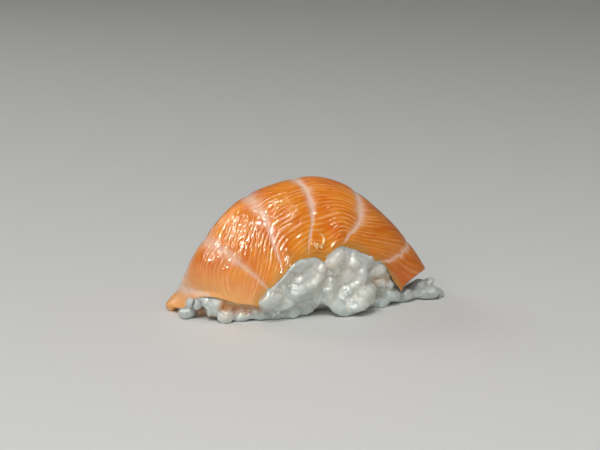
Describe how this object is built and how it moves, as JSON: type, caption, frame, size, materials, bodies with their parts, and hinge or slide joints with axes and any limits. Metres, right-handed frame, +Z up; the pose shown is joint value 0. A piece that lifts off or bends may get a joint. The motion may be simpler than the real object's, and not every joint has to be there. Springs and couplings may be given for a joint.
{
  "type": "salmon nigiri",
  "caption": "Piece of nigiri sushi: a strip of raw salmon with pale fat lines draped in a high arch over a hand-pressed block of rice.",
  "frame": {"origin": "middle of the flat underside of the rice block, on the surface it stands on", "axes": "+X along the block towards its loose tail of grains, -Y the side where the strip stops high and bares the rice, +Z up"},
  "size_m": [0.0683, 0.0271, 0.0317],
  "materials": {
    "salmon": "wet raw salmon, orange with pale fat lines",
    "rice": "cooked white rice, moist and slightly clear"
  },
  "bodies": {
    "root": {"salmon_slice": "salmon", "rice": "rice"}
  },
  "joints": []
}
